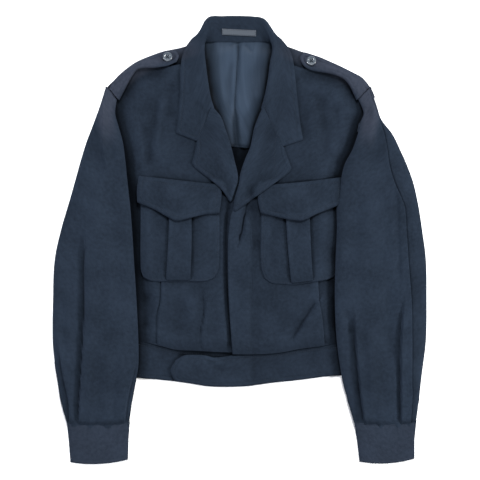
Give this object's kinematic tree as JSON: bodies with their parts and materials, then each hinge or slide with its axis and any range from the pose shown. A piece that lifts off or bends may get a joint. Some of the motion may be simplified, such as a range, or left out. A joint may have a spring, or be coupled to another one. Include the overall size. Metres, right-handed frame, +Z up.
{
  "type": "battledress jacket",
  "caption": "Waist-length wool serge jacket laid flat, front up, with notched collar, pleated patch pockets, shoulder straps, a fly front and a tabbed waistband.",
  "frame": {"origin": "middle of the jacket's outline, on the surface it lies on", "axes": "+Z up from the surface to the jacket's front, +Y towards the collar, +X towards the wearer's left sleeve"},
  "size_m": [0.597, 0.7156, 0.0181],
  "materials": {
    "serge": "matt napped wool serge, dark navy",
    "lining": "smooth satin lining, slate blue",
    "label": "woven ribbon label, grey, plain",
    "button": "satin moulded plastic, dark grey"
  },
  "bodies": {
    "root": {"back": "serge", "back_lining": "lining", "collar_fall": "serge", "collar_stand": "serge", "cuff_left": "serge", "cuff_right": "serge", "front_left": "serge", "front_right": "serge", "lapel_left": "serge", "lapel_right": "serge", "neck_label": "label", "pocket_bag_left": "serge", "pocket_bag_right": "serge", "pocket_flap_left": "serge", "pocket_flap_right": "serge", "pocket_pleat_left": "serge", "pocket_pleat_right": "serge", "shoulder_strap_left": "serge", "shoulder_strap_right": "serge", "strap_button_left": "button", "strap_button_right": "button", "top_sleeve_left": "serge", "top_sleeve_right": "serge", "under_sleeve_left": "serge", "under_sleeve_right": "serge", "waistband_back": "serge", "waistband_left": "serge", "waistband_right": "serge"}
  },
  "joints": []
}
